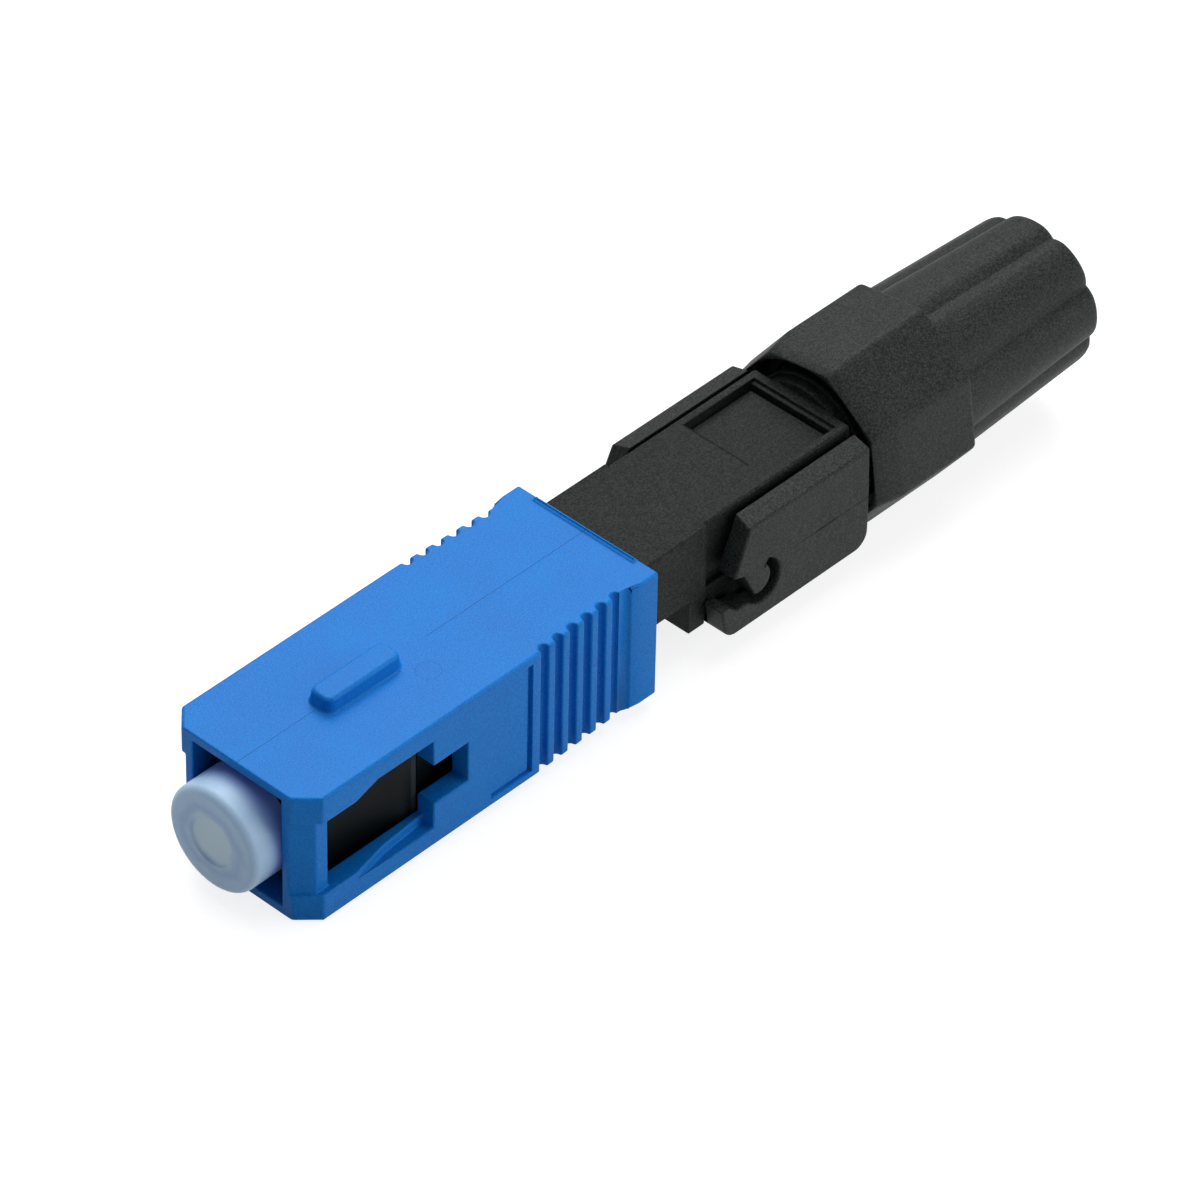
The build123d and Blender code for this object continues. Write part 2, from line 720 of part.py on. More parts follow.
# Tail nut: octagonal collar and fluted cone in one moulding, screwed on the neck
collar_end_x = nut_front_x + collar_length
taper_end_x = nut_front_x + collar_taper_length
shoulder_x = collar_end_x - collar_shoulder
with BuildPart() as tail_nut:
    with BuildSketch(Plane.YZ.offset(nut_front_x)):
        collar_sketch(collar_taper)
    with BuildSketch(Plane.YZ.offset(taper_end_x)):
        collar_sketch()
    loft(ruled=True)
    with BuildSketch(Plane.YZ.offset(taper_end_x)):
        collar_sketch()
    extrude(amount=shoulder_x - taper_end_x)
    with BuildSketch(Plane.YZ.offset(shoulder_x)):
        collar_sketch()
    with BuildSketch(Plane.YZ.offset(collar_end_x)):
        collar_sketch(collar_shoulder)
    loft(ruled=True)
    with BuildSketch(Plane.YZ.offset(shoulder_x)):
        lobe_sketch(lobe_peak_front_r, lobe_valley_front_r)
    with BuildSketch(Plane.YZ.offset(nut_end_x)):
        lobe_sketch(lobe_peak_end_r, lobe_valley_end_r)
    loft(ruled=True)
    chamfer(tail_nut.faces().sort_by(Axis.X)[-1].edges(), nut_end_edge)
    # Mouth, thread bore, jaw cone and cable entry
    bore_x(nut_mouth_r, nut_front_x, nut_front_x + nut_mouth_depth)
    bore_x(neck_r + turn_gap, nut_front_x, nut_thread_end_x)
    cone_x(nut_thread_end_x, nut_cone_end_x, nut_cone_front_r, nut_cone_end_r)
    bore_x(entry_r, nut_cone_end_x, nut_end_x)


def make_jaw(side):
    """Half of the cable clamp: a tapered half ring with a toothed channel for flat cable."""
    with BuildPart() as jaw:
        slope = (nut_cone_front_r - nut_cone_end_r) / (nut_cone_end_x - nut_thread_end_x)
        jaw_end_r = nut_cone_front_r - slope * (jaw_end_x - nut_thread_end_x) - slide_gap
        jaw_front_r = nut_cone_front_r - slide_gap
        turned([
            (jaw_front_x, 0),
            (jaw_front_x, jaw_front_r - jaw_front_chamfer),
            (jaw_front_x + jaw_front_chamfer, jaw_front_r),
            (nut_thread_end_x, jaw_front_r),
            (jaw_end_x, jaw_end_r),
            (jaw_end_x, 0),
        ])
        split_z = side * jaw_split / 2
        low_z, high_z = sorted((split_z, -side * 2 * nut_cone_front_r))
        reach = 2 * nut_cone_front_r
        box_between((jaw_front_x, -reach, low_z), (jaw_end_x, reach, high_z), Mode.SUBTRACT)
        channel_z = side * jaw_channel_height / 2
        low_z, high_z = sorted((channel_z, 0))
        box_between((jaw_front_x, -jaw_channel_width / 2, low_z),
                    (jaw_end_x, jaw_channel_width / 2, high_z), Mode.SUBTRACT)
        # Saw teeth across the channel
        tooth_count = int((jaw_end_x - jaw_front_x) / jaw_tooth_pitch)
        with BuildSketch(Plane.XZ.offset(-jaw_channel_width / 2)):
            with BuildLine():
                points = []
                for n in range(tooth_count):
                    tooth_x = jaw_front_x + n * jaw_tooth_pitch
                    points.append((tooth_x, channel_z))
                    points.append((tooth_x + jaw_tooth_pitch, channel_z - side * jaw_tooth_depth))
                root_z = channel_z + side * jaw_tooth_depth
                points.append((jaw_front_x + tooth_count * jaw_tooth_pitch, root_z))
                points.append((jaw_front_x, root_z))
                Polyline(*points, close=True)
            make_face()
        extrude(amount=jaw_channel_width)
    return jaw


clamp_jaw_upper = make_jaw(1)
clamp_jaw_lower = make_jaw(-1)

pieces = {
    "dust_cap": dust_cap,
    "outer_sleeve": outer_sleeve,
    "plug_frame": plug_frame,
    "ferrule": ferrule,
    "fibre_stub": fibre_stub,
    "ferrule_holder": ferrule_holder,
    "ferrule_spring": ferrule_spring,
    "main_body": main_body,
    "groove_base": groove_base,
    "groove_lid": groove_lid,
    "splice_clip": splice_clip,
    "press_cover": press_cover,
    "slide_lock": slide_lock,
    "fibre_guide": fibre_guide,
    "clamp_jaw_upper": clamp_jaw_upper,
    "clamp_jaw_lower": clamp_jaw_lower,
    "tail_nut": tail_nut,
}

os.makedirs("parts", exist_ok=True)
for name, piece in pieces.items():
    piece.part.label = name
    export_step(piece.part, f"parts/{name}.step")
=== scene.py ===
import math

import bmesh
import bpy
from mathutils import Matrix, Vector
from mathutils.bvhtree import BVHTree


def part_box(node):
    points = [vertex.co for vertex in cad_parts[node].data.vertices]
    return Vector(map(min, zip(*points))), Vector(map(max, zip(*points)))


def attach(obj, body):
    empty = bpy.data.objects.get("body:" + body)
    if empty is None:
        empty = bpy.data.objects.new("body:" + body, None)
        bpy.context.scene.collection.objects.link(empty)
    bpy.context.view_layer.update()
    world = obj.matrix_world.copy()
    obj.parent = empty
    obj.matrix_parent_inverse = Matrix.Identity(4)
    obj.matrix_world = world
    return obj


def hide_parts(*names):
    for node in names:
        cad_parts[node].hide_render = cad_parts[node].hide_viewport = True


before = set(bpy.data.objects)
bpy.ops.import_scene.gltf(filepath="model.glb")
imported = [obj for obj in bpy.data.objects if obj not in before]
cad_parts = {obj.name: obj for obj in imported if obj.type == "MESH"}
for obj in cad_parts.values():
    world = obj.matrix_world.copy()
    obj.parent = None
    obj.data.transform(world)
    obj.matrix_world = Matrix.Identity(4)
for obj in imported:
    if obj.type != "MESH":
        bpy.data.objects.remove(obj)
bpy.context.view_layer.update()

mm = 0.001


# Camera, as the photograph was taken: a long lens above the sleeve's nose corner.
# The middle of the sleeve's front face is left of and below the frame's centre by these amounts.
photo_side = 1200
focal_pixels = 7910.9
view_azimuth = math.radians(47.277)
view_elevation = math.radians(40.622)
view_roll = math.radians(-1.211)
view_distance = 355.426 * mm
nose_left = 16.311 * mm
nose_below = 10.069 * mm
sleeve_low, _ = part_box("outer_sleeve")
nose_centre = Vector((sleeve_low.x, 0, 0))

forward = Vector((
    math.sin(view_azimuth) * math.cos(view_elevation),
    math.cos(view_azimuth) * math.cos(view_elevation),
    -math.sin(view_elevation),
))
level_right = Vector((math.cos(view_azimuth), -math.sin(view_azimuth), 0))
level_up = level_right.cross(forward)
right = level_right * math.cos(view_roll) - level_up * math.sin(view_roll)
up = level_right * math.sin(view_roll) + level_up * math.cos(view_roll)
eye = nose_centre + right * nose_left + up * nose_below - forward * view_distance
lens = bpy.data.cameras.new("photo_camera")
lens.sensor_width = 36
lens.lens = focal_pixels / photo_side * lens.sensor_width
lens.clip_start = 0.01
lens.clip_end = 20
camera = bpy.data.objects.new("photo_camera", lens)
bpy.context.collection.objects.link(camera)
camera.matrix_world = Matrix.Translation(eye) @ Matrix((right, up, -forward)).transposed().to_4x4()
bpy.context.scene.camera = camera


# Table: a plain white sheet that the plug lies on, touched by the nut's lowest corner and by
# the lower front edge of the sleeve. The camera sees it white, and it keeps a faint shadow.
class Wire:
    """One output of a graph's nodes. Sums and products of wires add Math nodes."""

    def __init__(self, graph, socket):
        self.graph = graph
        self.socket = socket

    def math(self, operation, *others, before=None):
        """A Math node on this wire and the others, or on a number before it and this wire."""
        values = (self, *others) if before is None else (before, self)
        return self.graph.add("ShaderNodeMath", {"operation": operation}, dict(enumerate(values)))

    def __add__(self, other):
        return self.math("ADD", other)

    def __radd__(self, other):
        return self.math("ADD", before=other)

    def __sub__(self, other):
        return self.math("SUBTRACT", other)

    def __rsub__(self, other):
        return self.math("SUBTRACT", before=other)

    def __mul__(self, other):
        return self.math("MULTIPLY", other)

    def __rmul__(self, other):
        return self.math("MULTIPLY", before=other)

    def __truediv__(self, other):
        return self.math("DIVIDE", other)

    def __rtruediv__(self, other):
        return self.math("DIVIDE", before=other)

    def __pow__(self, other):
        return self.math("POWER", other)

    def __abs__(self):
        return self.math("ABSOLUTE")

    def below(self, edge, soft):
        """1 under the edge and 0 over it, with a soft step between."""
        return self.graph.add("ShaderNodeMapRange", {"interpolation_type": "SMOOTHSTEP"},
                              {"Value": self, "From Min": edge - soft, "From Max": edge + soft,
                               "To Min": 1.0, "To Max": 0.0})


class Graph:
    """A node tree that is filled node by node."""

    def __init__(self, tree):
        self.tree = tree
        self.tree.nodes.clear()

    def add(self, kind, settings=None, inputs=None, output=0):
        """A node of that kind: first its settings, then the values or wires of its inputs."""
        node = self.tree.nodes.new(kind)
        for key, value in (settings or {}).items():
            setattr(node, key, value)
        for key, value in (inputs or {}).items():
            if isinstance(value, Wire):
                self.tree.links.new(value.socket, node.inputs[key])
            else:
                node.inputs[key].default_value = value
        return Wire(self, node.outputs[output]) if node.outputs else None


class Finish(Graph):
    """One material. Its patterns read the object's own coordinates, in metres."""

    def __init__(self, name):
        self.material = bpy.data.materials.new(name)
        self.material.use_nodes = True
        super().__init__(self.material.node_tree)

    def place(self):
        return self.add("ShaderNodeTexCoord", output="Object")

    def axis(self, place, index):
        return self.add("ShaderNodeSeparateXYZ", inputs={0: place}, output=index)

    def noise(self, place, cell, detail=2.0, rough=0.5):
        """Soft noise from 0 to 1 whose cells are that wide."""
        return self.add("ShaderNodeTexNoise", {}, {"Vector": place, "Scale": 1 / cell,
                                                   "Detail": detail, "Roughness": rough})

    def between(self, factor, first, second):
        """A colour between two colours."""
        factor_input, first_colour, second_colour, mixed_colour = 0, 6, 7, 2
        return self.add("ShaderNodeMix", {"data_type": "RGBA", "clamp_factor": True},
                        {factor_input: factor, first_colour: first, second_colour: second},
                        output=mixed_colour)

    def relief(self, height, depth):
        """A bump from a height of 0 to 1 that is that many metres deep."""
        return self.add("ShaderNodeBump", {}, {"Height": height, "Distance": depth,
                                               "Strength": 1.0})

    def surface(self, **inputs):
        """The closing shader, its inputs named with _ for a space."""
        named = {key.replace("_", " "): value for key, value in inputs.items()}
        shader = self.add("ShaderNodeBsdfPrincipled", {}, named)
        self.add("ShaderNodeOutputMaterial", {}, {"Surface": shader})
        return self.material


table_reach = 3.0
table_lit_grey = (0.5, 0.5, 0.5, 1)
table_seen_grey = (0.4, 0.4, 0.4, 1)
table_glow = 0.82
nut_corner_x = 40.4 * mm
nut_low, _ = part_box("tail_nut")
table_from = Vector((sleeve_low.x, 0, sleeve_low.z))
table_slope = math.atan2(sleeve_low.z - nut_low.z, nut_corner_x - sleeve_low.x)
table_turn = Matrix.Translation(table_from) @ Matrix.Rotation(table_slope, 4, "Y")
table_mesh = bpy.data.meshes.new("table")
table_mesh.from_pydata([table_turn @ Vector((x * table_reach, y * table_reach, 0))
                        for x, y in ((-1, -1), (1, -1), (1, 1), (-1, 1))], [], [(0, 1, 2, 3)])
table = bpy.data.objects.new("table", table_mesh)
bpy.context.collection.objects.link(table)

table_white = Finish("table_white")
seen = table_white.add("ShaderNodeLightPath", output="Is Camera Ray")
seen = seen + table_white.add("ShaderNodeLightPath", output="Is Glossy Ray")
seen = seen + table_white.add("ShaderNodeLightPath", output="Is Transmission Ray")
lit = table_white.add("ShaderNodeBsdfDiffuse", {}, {"Color": table_lit_grey})
shaded = table_white.add("ShaderNodeBsdfDiffuse", {}, {"Color": table_seen_grey})
glow = table_white.add("ShaderNodeEmission", {}, {"Color": (1, 1, 1, 1), "Strength": table_glow})
white = table_white.add("ShaderNodeAddShader", {}, {0: shaded, 1: glow})
either = table_white.add("ShaderNodeMixShader", {}, {0: seen, 1: lit, 2: white})
table_white.add("ShaderNodeOutputMaterial", {}, {"Surface": either})
table_mesh.materials.append(table_white.material)


# Studio light: one broad lamp above, a weaker one on the plug's near side and a small one
# behind, with a dim even sky. The sky behind the table is white to the camera.
sky_light = 0.22
sky_seen = 1.0
plug_middle = Vector((28 * mm, 0, 0))
world = bpy.data.worlds.new("studio")
bpy.context.scene.world = world
world.use_nodes = True
sky = Graph(world.node_tree)
ambient = sky.add("ShaderNodeBackground", {}, {"Color": (1, 1, 1, 1), "Strength": sky_light})
backdrop = sky.add("ShaderNodeBackground", {}, {"Color": (1, 1, 1, 1), "Strength": sky_seen})
seen = sky.add("ShaderNodeLightPath", output="Is Camera Ray")
either = sky.add("ShaderNodeMixShader", {}, {0: seen, 1: ambient, 2: backdrop})
sky.add("ShaderNodeOutputWorld", {}, {"Surface": either})


def softbox(name, place, power, width, height):
    """A flat lamp that faces the middle of the plug."""
    lamp = bpy.data.lights.new(name, "AREA")
    lamp.shape = "RECTANGLE"
    lamp.size = width
    lamp.size_y = height
    lamp.energy = power
    stand = bpy.data.objects.new(name, lamp)
    bpy.context.collection.objects.link(stand)
    aim = plug_middle - Vector(place)
    facing = aim.to_track_quat("-Z", "Y").to_matrix().to_4x4()
    stand.matrix_world = Matrix.Translation(place) @ facing


softbox("lamp_above", place=(0.16, 0.12, 0.46), power=1.85, width=0.45, height=0.45)
softbox("lamp_side", place=(0.30, -0.42, 0.16), power=1.05, width=0.4, height=0.3)
softbox("lamp_behind", place=(0.28, 0.26, 0.33), power=0.75, width=0.3, height=0.3)
bpy.context.scene.view_settings.view_transform = "Standard"


# Main body: one black moulding of glass-filled nylon with the rails, the pocket and the neck.
# It comes matt from a spark-finished mould, whose edges leave no sharp corner on the plastic.
# A thin line of painted shade, near black and bumped in a little, shows where the press cover's
# pocket starts.
def rgb(red, green, blue):
    """A colour as it looks on a screen, 0 to 255, in the linear values that nodes use."""
    def linear(value):
        value /= 255
        return value / 12.92 if value <= 0.04045 else ((value + 0.055) / 1.055) ** 2.4
    return linear(red), linear(green), linear(blue), 1.0


def shade(colour, factor):
    """The colour made that many times as light, at most white."""
    return tuple(min(1.0, value * factor) for value in colour[:3]) + (1.0,)


def finish_piece(piece, name, body, material):
    """Turn the piece's modifiers into plain mesh and put it on its body."""
    depsgraph = bpy.context.evaluated_depsgraph_get()
    baked = bpy.data.meshes.new_from_object(piece.evaluated_get(depsgraph))
    piece.modifiers.clear()
    piece.data = baked
    baked.name = name
    baked.materials.clear()
    baked.materials.append(material)
    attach(piece, body)


def moulded(node, name, body, material, edge, segments=2, softness=None, reach=None):
    """The CAD solid of a node as moulded: its mesh merged and its edges rounded. softness gives
    each edge a share of the radius, from the edge's middle in millimetres. reach gives the share
    of it by which a rounded corner may leave the solid, and is softness unless it is given."""
    merge_gap = 0.0005 * mm
    flat_bend = math.radians(0.4)
    sharp_bend = math.radians(32)
    flat_face_weight = 100
    stray_share = 0.5
    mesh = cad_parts[node].data.copy()
    mesh.materials.clear()
    work = bmesh.new()
    work.from_mesh(mesh)
    bmesh.ops.remove_doubles(work, verts=work.verts, dist=merge_gap)
    bmesh.ops.dissolve_limit(work, angle_limit=flat_bend, verts=work.verts, edges=work.edges)
    rounded = work.edges.layers.float.new("bevel_weight_edge")
    for bend in work.edges:
        if len(bend.link_faces) == 2 and bend.calc_face_angle(0) > sharp_bend:
            centre = (bend.verts[0].co + bend.verts[1].co) / (2 * mm)
            bend[rounded] = softness(centre) if softness else 1.0
    for face in work.faces:
        face.smooth = True
    work.to_mesh(mesh)
    work.free()
    piece = bpy.data.objects.new(name, mesh)
    bpy.context.collection.objects.link(piece)
    rounding = piece.modifiers.new("rounding", "BEVEL")
    rounding.width = edge
    rounding.segments = segments
    rounding.limit_method = "WEIGHT"
    rounding.use_clamp_overlap = False
    shading = piece.modifiers.new("shading", "WEIGHTED_NORMAL")
    shading.mode = "FACE_AREA"
    shading.weight = flat_face_weight
    finish_piece(piece, name, body, material)
    reach = reach or softness
    solid = BVHTree.FromObject(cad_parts[node], bpy.context.evaluated_depsgraph_get())
    for corner in piece.data.vertices:
        surface_spot, _, _, distance = solid.find_nearest(corner.co)
        share = reach(corner.co / mm) if reach else 1.0
        if distance > stray_share * edge * share:
            corner.co = surface_spot
    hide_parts(node)


def black_nylon(name, base, grain=0.09 * mm, depth=0.018 * mm, gloss=0.2, grooves_and_shade=None):
    """Charcoal plastic with the fine grain of the mould and a few paler rubbed places. The last
    argument gives a mask of 0 to 1 for thin lines, from the place in the finish: they are bumped in
    as grooves and painted near black, as painted shade inside them."""
    grain_contrast, speck_contrast, patch_contrast = 5.5, 0.8, 0.4
    mean_tone = 0.42
    roughness, roughness_change = 0.55, 0.15
    groove_shade_black = (0.0008, 0.0008, 0.0008, 1.0)
    seam_depth = 4.0
    finish = Finish(name)
    place = finish.place()
    fine = finish.noise(place, grain, 3.0, 0.7)
    specks = finish.noise(place, grain * 2.6, 1.0)
    broad = finish.noise(place, 3.0 * mm, 3.0)
    mottle = ((fine - 0.5) * grain_contrast + (specks - 0.5) * speck_contrast
              + (broad - 0.5) * patch_contrast + mean_tone)
    tone = finish.between(mottle, shade(base, 0.35), shade(base, 2.0))
    height = fine * 0.7 + specks * 0.3
    if grooves_and_shade:
        line = grooves_and_shade(finish, place)
        # Painted shade: the thin lines are coloured near black, as the shade inside their grooves.
        tone = finish.between(line, tone, groove_shade_black)
        height = height - line * seam_depth
    return finish.surface(Base_Color=tone, Roughness=roughness + (broad - 0.5) * roughness_change,
                          Specular_IOR_Level=gloss, Normal=finish.relief(height, depth))


def pocket_edge_shade(finish, place):
    """A thin broken line across the body's top where the pocket starts, painted near black as the
    shade at the pocket's edge.
    """
    shade_line_x, half_width, waviness = 33.06 * mm, 0.060 * mm, 0.10 * mm
    shade_line_middle, half_length = 0.5 * mm, 2.1 * mm
    body_top = 2.8 * mm
    x, y, z = (finish.axis(place, index) for index in range(3))
    along = abs(y - shade_line_middle).below(half_length, 0.03 * mm)
    waver = (finish.noise(place, 0.35 * mm, 1.0) - 0.5) * waviness
    across = abs(x - shade_line_x + waver).below(half_width, 0.020 * mm)
    return along * across * (1 - z.below(body_top, 0.02 * mm))


body_black = black_nylon("body_black", rgb(29, 34, 31), gloss=0.12, grooves_and_shade=pocket_edge_shade)
moulded("main_body", "body_moulding", "splice_body", body_black, 0.06 * mm)


# Neck thread: a round-backed ridge of one-millimetre pitch that is moulded on the neck of the
# body, for the tail nut. It runs from the block's rear face to just before the neck's end.
neck_radius = 3.5 * mm
thread_pitch = 1.0 * mm
thread_start = 38.75 * mm
thread_end = 44.75 * mm
ridge_radius = 0.16 * mm
quarter_turn = math.radians(90)


def sweep_inputs(tree, modifier, values):
    """Give a modifier its named inputs, each by its socket's own identifier."""
    for item in tree.interface.items_tree:
        if item.item_type == "SOCKET" and item.in_out == "INPUT" and item.name in values:
            modifier[item.identifier] = values[item.name]


def geometry_tree(name, inputs):
    """An empty geometry tree with a geometry socket at each end and named number inputs."""
    tree = bpy.data.node_groups.new(name, "GeometryNodeTree")
    graph = Graph(tree)
    tree.interface.new_socket("Geometry", in_out="INPUT", socket_type="NodeSocketGeometry")
    for label in inputs:
        tree.interface.new_socket(label, in_out="INPUT", socket_type="NodeSocketFloat")
    tree.interface.new_socket("Geometry", in_out="OUTPUT", socket_type="NodeSocketGeometry")
    source = tree.nodes.new("NodeGroupInput")
    ports = {socket.name: Wire(graph, socket) for socket in source.outputs if socket.name}
    return tree, graph, ports


def close_tree(graph, shape, material):
    """End a geometry tree with smooth shading, real geometry and its material."""
    shape = graph.add("GeometryNodeSetShadeSmooth", {}, {"Geometry": shape})
    shape = graph.add("GeometryNodeRealizeInstances", {}, {"Geometry": shape})
    shape = graph.add("GeometryNodeSetMaterial", {}, {"Geometry": shape, "Material": material})
    graph.add("NodeGroupOutput", {}, {"Geometry": shape})


tree, thread, ports = geometry_tree("thread_ridge", ["Radius", "Pitch", "Length", "Start", "Ridge"])
helix = thread.add("GeometryNodeCurveSpiral", {}, {
    "Resolution": 64, "Rotations": ports["Length"] / ports["Pitch"],
    "Start Radius": ports["Radius"], "End Radius": ports["Radius"], "Height": ports["Length"]})
start = thread.add("ShaderNodeCombineXYZ", {}, {"X": ports["Start"]})
helix = thread.add("GeometryNodeTransform", {}, {
    "Geometry": helix, "Translation": start, "Rotation": (0, quarter_turn, 0)})
section = thread.add("GeometryNodeCurvePrimitiveCircle", {}, {
    "Resolution": 10, "Radius": ports["Ridge"]})
ridge = thread.add("GeometryNodeCurveToMesh", {}, {
    "Curve": helix, "Profile Curve": section, "Fill Caps": True})
close_tree(thread, ridge, body_black)
neck_thread = bpy.data.objects.new("neck_thread", bpy.data.meshes.new("neck_thread"))
bpy.context.collection.objects.link(neck_thread)
winding = neck_thread.modifiers.new("winding", "NODES")
winding.node_group = tree
sweep_inputs(tree, winding, {"Radius": neck_radius, "Pitch": thread_pitch, "Start": thread_start,
                             "Length": thread_end - thread_start, "Ridge": ridge_radius})
finish_piece(neck_thread, "neck_thread", "splice_body", body_black)


# Splice parts: the grooved base and its lid hold the two fibre ends, and the guide leads the
# bare fibre in. All three are precise mouldings of pale glass-filled resin, kept as in the CAD.
def dress(node, material):
    """Give a CAD solid that stays its finish."""
    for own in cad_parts[node].material_slots:
        own.material = material


def pale_resin(name, base):
    """Pale glass-filled resin with faint flow marks and a very fine grain."""
    grain_contrast, flow_contrast = 1.2, 1.0
    finish = Finish(name)
    place = finish.place()
    fine = finish.noise(place, 0.05 * mm, 3.0, 0.6)
    flow = finish.noise(place, 0.8 * mm, 3.0)
    mottle = (fine - 0.5) * grain_contrast + (flow - 0.5) * flow_contrast + 0.5
    tone = finish.between(mottle, base, shade(base, 1.2))
    return finish.surface(Base_Color=tone, Roughness=0.4 + (flow - 0.5) * 0.2,
                          Specular_IOR_Level=0.4, Normal=finish.relief(fine, 0.003 * mm))


splice_resin = pale_resin("splice_resin", rgb(205, 202, 190))
guide_resin = pale_resin("guide_resin", rgb(190, 194, 196))
dress("groove_base", splice_resin)
dress("groove_lid", splice_resin)
dress("fibre_guide", guide_resin)


# Splice clip: a folded strip of spring steel around the groove parts, rolled bright, with the
# fine lines of the rolling along its length.
def stretched(finish, stretch):
    """The object's coordinates times a factor on each axis, which draws a pattern out."""
    return finish.add("ShaderNodeVectorMath", {"operation": "MULTIPLY"},
                      {0: finish.place(), 1: stretch})


def drawn_steel(name, base, stretch, roughness):
    """Bright steel with fine lines along the long side of the stretch."""
    line_contrast, cloud_contrast = 1.5, 0.6
    finish = Finish(name)
    lines = finish.noise(stretched(finish, stretch), 0.04 * mm, 3.0, 0.6)
    cloud = finish.noise(finish.place(), 0.9 * mm, 2.0)
    mottle = (lines - 0.5) * line_contrast + (cloud - 0.5) * cloud_contrast + 0.5
    tone = finish.between(mottle, shade(base, 0.8), base)
    return finish.surface(Base_Color=tone, Metallic=1.0, Roughness=roughness + (lines - 0.5) * 0.2,
                          Normal=finish.relief(lines, 0.002 * mm))


dress("splice_clip", drawn_steel("clip_rolled", rgb(196, 199, 202), (0.08, 1.0, 1.0), 0.32))


# Press cover: the black plate in the body's pocket, pressed down to close the splice. It comes
# from the body's mould and lies a little under the rim.
cover_black = black_nylon("cover_black", rgb(29, 34, 31), grain=0.08 * mm, depth=0.014 * mm,
                          gloss=0.12)
moulded("press_cover", "cover_plate", "splice_body", cover_black, 0.05 * mm)


# Ferrule group: a ground zirconia rod of 2.5 mm with the fibre stub cemented in it, pressed in
# a turned metal holder. A coil spring behind the holder lets it float.
def ground_zirconia():
    """White ceramic with the fine rings of the grinding round its axis."""
    finish = Finish("ground_zirconia")
    rings = finish.noise(stretched(finish, (1.0, 0.15, 0.15)), 0.03 * mm, 2.0)
    tone = finish.between(rings, rgb(232, 230, 222), rgb(244, 243, 238))
    return finish.surface(Base_Color=tone, Roughness=0.16 + rings * 0.08, Specular_IOR_Level=0.7,
                          Coat_Weight=0.3, Coat_Roughness=0.1,
                          Normal=finish.relief(rings, 0.0005 * mm))


def fibre_silica():
    """Clear glass with a faint cool tint."""
    finish = Finish("fibre_silica")
    drift = finish.noise(finish.place(), 0.02 * mm, 2.0)
    tone = finish.between(drift, rgb(206, 222, 226), rgb(222, 236, 240))
    return finish.surface(Base_Color=tone, Roughness=0.06 + drift * 0.04, IOR=1.46,
                          Transmission_Weight=0.6)


dress("ferrule", ground_zirconia())
dress("fibre_stub", fibre_silica())
dress("ferrule_holder", drawn_steel("holder_turned", rgb(206, 200, 186), (1.0, 0.1, 0.1), 0.28))
dress("ferrule_spring", drawn_steel("spring_wire", rgb(178, 182, 186), (0.2, 1.0, 1.0), 0.3))


# Plug frame: the black moulding that snaps on the body and carries the two latch shoulders.
# It is seen through the sleeve's windows, smoother than the body, with a painted highlight on each
# latch shoulder.
def frame_plastic():
    """Smooth black plastic with a paler strip of painted highlight on each side, at the latch
    shoulder.
    """
    shoulder_highlight_x, shoulder_highlight_half_width, shoulder_highlight_strength = 9.15 * mm, 0.38 * mm, 0.7
    frame_side = 2.9 * mm
    finish = Finish("frame_black")
    place = finish.place()
    x, y, _ = (finish.axis(place, index) for index in range(3))
    fine = finish.noise(place, 0.06 * mm, 2.0)
    broad = finish.noise(place, 2.0 * mm, 3.0)
    tone = finish.between((fine - 0.5) * 2.0 + 0.45, rgb(4, 8, 10), rgb(17, 23, 26))
    on_side = 1 - abs(y).below(frame_side, 0.05 * mm)
    shoulder_highlight = abs(x - shoulder_highlight_x).below(shoulder_highlight_half_width, 0.06 * mm) * on_side
    # Painted highlight: the side strip at the latch shoulder is painted paler.
    tone = finish.between(shoulder_highlight * shoulder_highlight_strength, tone, rgb(46, 58, 64))
    return finish.surface(Base_Color=tone, Roughness=0.5 + (broad - 0.5) * 0.1,
                          Specular_IOR_Level=0.1, Normal=finish.relief(fine, 0.003 * mm))


moulded("plug_frame", "frame_moulding", "splice_body", frame_plastic(), 0.05 * mm)


# Slide lock: the U-shaped black slider that locks the splice from below. Its two cheeks have a hook
# at the front, a parting line along the middle and a short sink mark on that line; both lines are
# painted near black as painted shade in their grooves.
def lock_lines(finish, place):
    """The parting line and the sink mark, on the outside of the cheeks only, as a mask that paints
    them near black as painted shade in their grooves.
    """
    cheek_face = 4.3 * mm
    parting_z, parting_half, parting_strength = -0.33 * mm, 0.030 * mm, 0.7
    sink_x, sink_z, sink_half_length, sink_half = 35.3 * mm, -0.30 * mm, 0.7 * mm, 0.085 * mm
    x, y, z = (finish.axis(place, index) for index in range(3))
    cheek = 1 - abs(y).below(cheek_face, 0.03 * mm)
    behind_hook = 1 - x.below(33.0 * mm, 1.0 * mm)
    parting = abs(z - parting_z).below(parting_half, 0.012 * mm) * behind_hook
    sink_length = abs(x - sink_x).below(sink_half_length, 0.08 * mm)
    sink = abs(z - sink_z).below(sink_half, 0.03 * mm) * sink_length
    return cheek * (parting * parting_strength).math("MAXIMUM", sink)


def lock_softness(centre):
    """The share of the edge radius: whole on the outside of the cheeks, half elsewhere."""
    return 1.0 if abs(centre.y) > 4.4 else 0.5


lock_black = black_nylon("lock_black", rgb(37, 41, 39), grooves_and_shade=lock_lines)
moulded("slide_lock", "lock_moulding", "lock", lock_black, 0.14 * mm,
        segments=3, softness=lock_softness)


# Clamp jaws: two toothed black half-cones of nylon inside the tail nut. The nut's cone presses
# them together on the cable's sheath as it is screwed on.
jaw_black = black_nylon("jaw_black", rgb(30, 32, 32), grain=0.06 * mm, depth=0.006 * mm)
dress("clamp_jaw_upper", jaw_black)
dress("clamp_jaw_lower", jaw_black)


